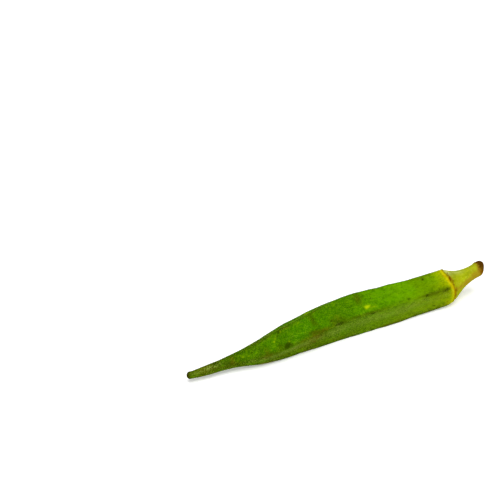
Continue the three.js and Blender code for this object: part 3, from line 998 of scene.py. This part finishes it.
# Among these, the shaded olive is painted shade, the grey-green film colour is also painted sheen, the green
# of the dark smudges is in part painted shade, and the pale cap green is a painted sheen.
DARK_GREEN, DEEP_GREEN, SHADED_OLIVE = shade(40, 56, 2), shade(46, 78, 2), shade(62, 72, 4)
YELLOW_GREEN, LIME, HALO = shade(112, 152, 8), shade(92, 158, 3), shade(180, 196, 9)
BLOOM_AND_SHEEN, PALE_SPOT, HAIR_FOOT = shade(132, 152, 62), shade(176, 200, 14), shade(132, 162, 40)
RING_YELLOW, RING_ORANGE, GOLDEN = shade(198, 190, 20), shade(188, 162, 8), shade(168, 160, 8)
RIDGE_BROWN, SMUDGE_AND_SHADE, SCORCH = shade(66, 66, 6), shade(60, 68, 2), shade(158, 94, 6)
TIP_BROWN, TORN_BROWN, RUSSET = shade(48, 40, 10), shade(112, 70, 8), shade(96, 68, 18)
TAN, TAN_BROWN, DRY_BROWN = shade(150, 122, 30), shade(146, 110, 26), shade(108, 60, 10)
STALK_LIME, STALK_GREEN, STALK_FIBRE = shade(184, 196, 40), shade(118, 136, 8), shade(126, 130, 14)
SHEEN_PALE_GREEN, PALE_STRAW = shade(196, 204, 124), shade(194, 192, 70)
PITH, WOOD, BARK = shade(196, 190, 132), shade(158, 146, 80), shade(70, 42, 12)
HAIR_GREEN, HAIR_PALE = shade(128, 158, 34), shade(186, 200, 84)
FLOOR_DIM, FLOOR_PALE, WHITE = (0.93, 0.93, 0.93, 1), (0.95, 0.95, 0.95, 1), (1, 1, 1, 1)
# Colours along the capsule from the tip, 0, to the scar, 1: of the upper sides, and the duller ones
# of the lower sides.
# The upper sides' deeper green over the half of the capsule towards the beak is in part painted shade.
SKIN_COLOURS = [
    [0.0, shade(62, 58, 12)], [0.05, shade(88, 85, 13)], [0.15, shade(51, 82, 5)],
    [0.22, shade(63, 106, 4)], [0.32, shade(60, 109, 3)], [0.4, shade(63, 121, 3)],
    [0.56, shade(67, 118, 3)], [0.72, shade(89, 146, 3)], [0.8, shade(100, 156, 3)],
    [0.9, shade(104, 143, 2)], [0.985, shade(136, 158, 3)],
]
LOWER_COLOURS = [
    [0.0, shade(50, 46, 9)], [0.08, shade(54, 58, 4)], [0.15, shade(56, 76, 6)],
    [0.25, shade(57, 83, 11)], [0.4, shade(79, 93, 14)], [0.56, shade(80, 114, 13)],
    [0.72, shade(98, 132, 15)], [0.88, shade(115, 143, 16)], [0.985, shade(140, 162, 16)],
]
# From the scar, 0, to the cut, 1, and then from the middle of the cut, 0, to its rim, 1.
STALK_COLOURS = [[0.0, shade(146, 152, 12)], [0.4, shade(158, 170, 22)], [0.75, shade(164, 172, 30)],
                 [1.0, shade(140, 124, 34)]]
CUT_COLOURS = [[0.0, PITH], [0.34, PITH], [0.46, shade(150, 128, 66)], [0.62, WOOD],
               [0.78, shade(128, 100, 50)], [0.9, BARK], [1.0, shade(92, 58, 24)]]
SHRED_COLOURS = [[0.3, shade(70, 38, 12)], [0.5, shade(122, 70, 18)], [0.7, shade(168, 118, 40)]]


def skin_material():
    """Living green skin, which changes along the pod.

    Over that lie painted shade along the edges, the scar's halo, cloudy patches, fibres, folds on
    the beak, a waxy grey film with painted sheen beside the ridges, painted highlights on the beak,
    smudges in part painted shade, scuffed ridges, also painted shade on the outline, specks,
    painted glints of the hairs, bruises and the corky yellow scar.
    """
    m = Material("green_pod_skin", 0.5)
    along = m.along()
    share = m.remap(along, TIP, SCAR, kind="LINEAR")
    broad = m.run(mottling, size=5.0, stretch=1.8, contrast=0.7)
    fine = m.run(mottling, size=1.3, stretch=1.4, contrast=0.8)
    tiny = m.run(mottling, size=0.5, stretch=1.3, contrast=1.1)
    fibres = m.run(long_grain, width=0.5, length=6.0)
    m.colour = m.blend(m.mask("lower"), m.ramp(share, SKIN_COLOURS), m.ramp(share, LOWER_COLOURS))
    # Painted shade along the outline, then the yellow halo and gold patches by the scar.
    for name, colour, low, high in (("edge", SHADED_OLIVE, 0.95, 0.6), ("halo", HALO, 0.75, 1.0),
                                    ("gold", GOLDEN, 0.35, 0.7)):
        m.lay(colour, m.mask(name), m.remap(fine, 0.0, 1.0, low, high))
    m.lay_all([
        [LIME, broad, 0.5, 1.0, 0.25], [DEEP_GREEN, broad, 0.5, 0.0, 0.2],
        [YELLOW_GREEN, fine, 0.55, 1.0, 0.28], [DEEP_GREEN, fine, 0.5, 0.0, 0.36],
        [DEEP_GREEN, fibres, 0.6, 1.0, 0.18],
    ])
    folds = m.remap(m.run(long_grain, width=0.75, length=5.0), 0.45, 1.0, 0.0, 0.55)
    m.lay(RIDGE_BROWN, folds, m.remap(along, -46.0, -56.0))
    graininess = m.calc("MULTIPLY_ADD", m.mask("lower"), 0.35, m.remap(along, -5.0, 25.0, 1.0, 0.6))
    m.lay(DEEP_GREEN, m.remap(tiny, 0.5, 0.0, 0.0, 0.36), graininess)
    m.lay(YELLOW_GREEN, m.remap(tiny, 0.5, 1.0, 0.0, 0.26), graininess)
    streaks = m.calc("MAXIMUM", m.run(long_grain, width=2.2, length=0.42), tiny)
    # A waxy grey film and painted sheen beside the ridges, with the painted highlights on the beak.
    m.lay(BLOOM_AND_SHEEN, m.times(m.mask("bloom_and_sheen"), m.remap(streaks, 0.4, 0.95)), 0.5)
    # Dark marks of the skin, in part painted shade of the seed swellings and along the top edge.
    m.stain("smudge_and_shade", SMUDGE_AND_SHADE, size=1.3, softness=0.42, strength=0.6)
    # Scuffed dark ridge lines, which on the bottom and top ridges are also painted shade along the outline.
    line = m.times(m.remap(m.mask("gap"), 0.75, 0.1), m.mask("wear_and_shade"))
    m.lay(RIDGE_BROWN, m.times(line, m.remap(fine, 0.1, 0.7, 0.35, 1.0)), 0.75)
    m.lay(DARK_GREEN, m.run(freckles, spacing=1.4, radius=0.3, amount=0.35), 0.5)
    feet = m.run(freckles, spacing=0.85, radius=0.22, amount=0.5)
    m.lay(HAIR_FOOT, feet, m.remap(broad, 0.2, 0.9, 0.2, 0.6))
    bruise = m.times(m.mask("bruise"), m.remap(fine, 0.15, 0.75, 0.2, 1.0))
    m.lay(RUSSET, bruise, 0.75)
    dark = m.stain("dark", DARK_GREEN, size=0.7, softness=0.42, strength=0.85)
    # Pale spots: a yellow blemish, and painted glints of the hairs.
    m.stain("pale", PALE_SPOT, size=1.4, softness=0.45, strength=0.85)
    m.lay(TIP_BROWN, m.remap(along, -68.2, -69.4), 0.8)
    ring_colour = m.blend(m.remap(fine, 0.45, 0.9), RING_YELLOW, RING_ORANGE)
    ring = m.stain("scar", ring_colour, size=0.8, softness=0.44, strength=0.85)
    m.stain("scorch", SCORCH, size=0.8, softness=0.44, strength=0.7)
    m.stain("torn", TORN_BROWN, size=0.6, softness=0.4, strength=0.9)
    corky = m.calc("MAXIMUM", ring, bruise)
    rough = m.calc("MULTIPLY_ADD", corky, 0.16, m.remap(fine, 0.0, 1.0, 0.44, 0.6))
    raised = m.calc("MULTIPLY_ADD", tiny, 0.8, m.times(fibres, 0.3))
    raised = m.calc("MULTIPLY_ADD", feet, 0.5, raised)
    return m.finish(rough, m.calc("MULTIPLY_ADD", dark, -0.5, raised), 0.09)


def stalk_material():
    """Yellow-green cap and stalk: lengthwise fibres, a tan worn side, a painted sheen on top and a crust
    below the cut.
    """
    m = Material("stalk_skin", 0.55)
    broad = m.run(mottling, size=3.2, stretch=1.8, contrast=0.8)
    fine = m.run(mottling, size=0.7, stretch=2.0, contrast=0.8)
    fibres = m.run(long_grain, width=0.28, length=5.0)
    m.colour = m.ramp(m.remap(m.along(), SCAR + 0.9, CUT, kind="LINEAR"), STALK_COLOURS)
    m.lay_all([
        [STALK_LIME, broad, 0.5, 1.0, 0.3], [STALK_GREEN, broad, 0.45, 0.0, 0.5],
        [STALK_FIBRE, fibres, 0.5, 1.0, 0.35], [PALE_STRAW, fine, 0.6, 1.0, 0.22],
    ])
    tan = m.stain("tan", TAN, size=0.9, softness=0.4, strength=0.8)
    specks = m.run(freckles, spacing=0.9, radius=0.22, amount=0.4)
    m.lay(RUSSET, specks, m.remap(tan, 0.0, 1.0, 0.2, 0.7))
    # Painted sheen along the top of the cap.
    m.lay(SHEEN_PALE_GREEN, m.mask("painted_cap_sheen"), 0.75)
    m.stain("scorch", SCORCH, size=0.8, softness=0.4, strength=0.65)
    m.stain("torn", TORN_BROWN, size=0.6, softness=0.4, strength=0.9)
    crust_colour = m.blend(fine, TAN_BROWN, DRY_BROWN)
    crust = m.stain("crust", crust_colour, size=0.8, softness=0.42, strength=0.9)
    m.stain("char", BARK, size=0.7, softness=0.48, strength=0.85)
    rough = m.calc("MULTIPLY_ADD", crust, -0.12, m.calc("MULTIPLY_ADD", fibres, 0.12, 0.48))
    raised = m.calc("MULTIPLY_ADD", fine, 0.4, m.times(fibres, 0.6))
    return m.finish(rough, m.calc("MULTIPLY_ADD", crust, m.times(fine, 0.8), raised), 0.07)


def cut_material():
    """The dried cut: pale sunken pith, a woody ring with spoke-like fibres, and a bark rim."""
    m = Material("dry_cut", 0.7)
    fine = m.run(mottling, size=0.5, stretch=1.0, contrast=0.9)
    uneven = m.calc("MULTIPLY_ADD", fine, 0.16, m.calc("SUBTRACT", m.mask("core"), 0.08))
    m.colour = m.ramp(uneven, CUT_COLOURS)
    pores = m.run(freckles, spacing=0.42, radius=0.12, amount=0.6)
    m.lay(BARK, pores, 0.6)
    clouds = m.run(mottling, size=1.7, stretch=1.0, contrast=0.7)
    m.lay(DRY_BROWN, m.remap(clouds, 0.55, 1.0, 0.0, 0.6))
    rough = m.calc("MULTIPLY_ADD", fine, 0.2, 0.6)
    return m.finish(rough, m.calc("MULTIPLY_ADD", pores, -0.7, fine), 0.09)


def fuzz_material():
    """Hairs that vary between green and pale, by noise on the place."""
    m = Material("pale_fuzz", 0.6)
    noise = m.noise(m.object_place(), 260.0, 2.0)
    m.colour = m.blend(m.remap(noise, 0.35, 0.65), HAIR_GREEN, HAIR_PALE)
    return m.finish()


def shred_material():
    """Dry calyx tissue: red-brown, with paler fibres and darker scorched streaks."""
    m = Material("dry_calyx", 0.75)
    inputs = {"Vector": m.object_place(), "Scale": (1400.0, 500.0, 500.0)}
    noise = m.noise(m.add("ShaderNodeMapping", inputs).outputs[0], 1.0, 4.0)
    m.colour = m.ramp(noise, SHRED_COLOURS)
    return m.finish(m.remap(noise, 0.3, 0.7, 0.65, 0.85), noise, 0.08)


def floor_material():
    """A plain pale floor with the faintest unevenness of tone, and a little light of its own."""
    m = Material("pale_floor", 0.8)
    m.colour = m.blend(m.noise(m.object_place(), 3.0, 2.0), FLOOR_DIM, FLOOR_PALE)
    m.set(("Emission Color", WHITE), ("Emission Strength", 0.3))
    return m.finish()


# ---- Camera, light and floor ----

CAMERA_PLACE, CAMERA_DOWN, CAMERA_TURN, LENS = (-0.19835, -0.3287, 0.30822), 35, -25.75, 85
# [name, azimuth, elevation, distance, size, power]
LAMPS = [["key", -20, 74, 2.2, 1.6, 46], ["fill", 60, 25, 1.2, 0.9, 1.2], ["front", -10, 22, 1.4, 1.0, 1.8]]
ROOM_LIGHT, FLOOR_REACH = 0.34, 3


def make_camera():
    """A camera with a long lens over the near side, towards the beak, that looks down on the pod."""
    data = bpy.data.cameras.new("camera")
    data.lens, data.sensor_width, data.sensor_fit = LENS, 36, "HORIZONTAL"
    data.clip_start, data.clip_end = 0.01, 20
    camera = bpy.data.objects.new("camera", data)
    camera.location = CAMERA_PLACE
    camera.rotation_euler = (math.radians(90 - CAMERA_DOWN), 0, math.radians(CAMERA_TURN))
    bpy.context.collection.objects.link(camera)
    bpy.context.scene.camera = camera


def make_lamp(name, azimuth, elevation, distance, size, power):
    """A square soft lamp that faces the pod, from an azimuth counted from -Y and an elevation."""
    data = bpy.data.lights.new(name, "AREA")
    data.shape, data.size, data.energy = "SQUARE", size, power
    lamp = bpy.data.objects.new(name, data)
    a, e = math.radians(azimuth), math.radians(elevation)
    out, up = distance * math.cos(e), distance * math.sin(e)
    lamp.location = (out * math.sin(a), -out * math.cos(a), up)
    lamp.rotation_euler = (math.pi / 2 - e, 0, a)
    bpy.context.collection.objects.link(lamp)


def make_studio():
    """A white room, three soft lamps and a wide pale floor."""
    world = bpy.data.worlds.new("white_room")
    world.use_nodes = True
    world.node_tree.nodes["Background"].inputs[0].default_value = WHITE
    world.node_tree.nodes["Background"].inputs[1].default_value = ROOM_LIGHT
    bpy.context.scene.world = world
    for lamp in LAMPS:
        make_lamp(*lamp)
    corners = FLOOR_REACH * np.array([[-1, -1, 0], [1, -1, 0], [1, 1, 0], [-1, 1, 0]], float)
    floor = make_mesh("floor", corners, np.array([[0, 1, 2, 3]]), np.zeros((0, 3), int), False)
    floor.data.materials.append(floor_material())
    view = bpy.context.scene.view_settings
    view.view_transform, view.look, view.exposure, view.gamma = "Standard", "None", 0, 1


make_camera()
make_studio()
offset = box_offset()
skin, fuzz, shreds = pod_skin(offset), pod_fuzz(offset), calyx_shreds(offset)
for material in (skin_material(), stalk_material(), cut_material()):
    skin.data.materials.append(material)
fuzz.data.materials.append(fuzz_material())
shreds.data.materials.append(shred_material())
for piece in (skin, fuzz, shreds):
    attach(piece, "root")
    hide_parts("okra_pod")
